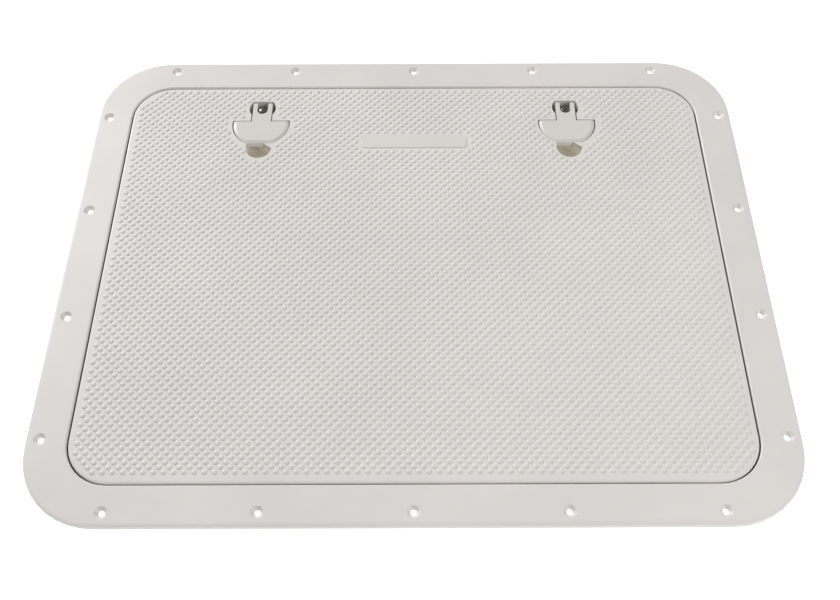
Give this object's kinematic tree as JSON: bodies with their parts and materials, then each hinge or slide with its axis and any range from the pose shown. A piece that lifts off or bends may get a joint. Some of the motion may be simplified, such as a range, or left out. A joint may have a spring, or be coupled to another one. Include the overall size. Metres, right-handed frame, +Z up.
{
  "type": "deck hatch",
  "caption": "Flush rectangular deck hatch: moulded frame, hinged anti-slip lid on a rubber seal, and lift-up compression latches.",
  "frame": {"origin": "under the middle of the hatch, level with the bottom of the collar", "axes": "+X along the hinge side, +Y from the hinge side to the latch side, +Z up out of the deck"},
  "size_m": [0.6, 0.464, 0.042],
  "materials": {
    "frame_plastic": "off-white UV-stable moulded plastic, satin",
    "lid_plastic": "off-white moulded plastic with raised anti-slip points and a smooth satin border",
    "lever_plastic": "off-white moulded plastic, satin",
    "plate_plastic": "off-white plastic, blank, slightly glossier than the lid",
    "rubber": "black EPDM, matt",
    "stainless": "stainless steel, fine brushed",
    "acetal": "black acetal"
  },
  "bodies": {
    "frame": {"frame": "frame_plastic", "lid_seal": "rubber", "left_bracket_screw_left": "stainless", "left_bracket_screw_right": "stainless", "left_hinge_bracket": "stainless", "left_hinge_pin": "stainless", "left_strike_plate": "stainless", "right_bracket_screw_left": "stainless", "right_bracket_screw_right": "stainless", "right_hinge_bracket": "stainless", "right_hinge_pin": "stainless", "right_strike_plate": "stainless"},
    "lid": {"lid_panel": "lid_plastic", "blank_plate": "plate_plastic", "left_arm_screw_left": "stainless", "left_arm_screw_right": "stainless", "left_bush": "acetal", "left_bush_nut": "acetal", "left_hinge_arm": "stainless", "right_arm_screw_left": "stainless", "right_arm_screw_right": "stainless", "right_bush": "acetal", "right_bush_nut": "acetal", "right_hinge_arm": "stainless", "left_latch_tub": "lid_plastic", "right_latch_tub": "lid_plastic"},
    "left_spindle": {"left_cross_pin": "stainless", "left_o_ring": "rubber", "left_spindle": "stainless", "left_spring": "stainless", "left_tongue_nut": "stainless", "left_washer": "stainless"},
    "left_lever": {"left_lever": "lever_plastic"},
    "left_tongue": {"left_tongue": "stainless"},
    "right_spindle": {"right_cross_pin": "stainless", "right_o_ring": "rubber", "right_spindle": "stainless", "right_spring": "stainless", "right_tongue_nut": "stainless", "right_washer": "stainless"},
    "right_lever": {"right_lever": "lever_plastic"},
    "right_tongue": {"right_tongue": "stainless"}
  },
  "joints": [
    {"name": "lid_hinge", "type": "hinge", "parent": "frame", "child": "lid", "pos_m": [0, -0.2106, 0.0365], "axis": [1, 0, 0], "range_deg": [0, 95]},
    {"name": "left_spindle_drop", "type": "slide", "parent": "lid", "child": "left_spindle", "axis": [0, 0, 1], "range_m": [-0.0015, 0], "deforming": ["left_spring"]},
    {"name": "left_lever_flip", "type": "hinge", "parent": "left_spindle", "child": "left_lever", "pos_m": [-0.1443, 0.172, 0.037], "axis": [-1, 0, 0], "range_deg": [0, 90]},
    {"name": "left_tongue_turn", "type": "hinge", "parent": "left_spindle", "child": "left_tongue", "pos_m": [-0.1443, 0.172, 0.01], "axis": [0, 0, 1], "range_deg": [0, 90]},
    {"name": "right_spindle_drop", "type": "slide", "parent": "lid", "child": "right_spindle", "axis": [0, 0, 1], "range_m": [-0.0015, 0], "deforming": ["right_spring"]},
    {"name": "right_lever_flip", "type": "hinge", "parent": "right_spindle", "child": "right_lever", "pos_m": [0.1443, 0.172, 0.037], "axis": [-1, 0, 0], "range_deg": [0, 90]},
    {"name": "right_tongue_turn", "type": "hinge", "parent": "right_spindle", "child": "right_tongue", "pos_m": [0.1443, 0.172, 0.01], "axis": [0, 0, -1], "range_deg": [0, 90]}
  ],
  "couplings": [
    {"joint": "left_lever_flip", "follows": "left_spindle_drop", "rad_per_m": -1047.2},
    {"joint": "right_lever_flip", "follows": "right_spindle_drop", "rad_per_m": -1047.2}
  ]
}
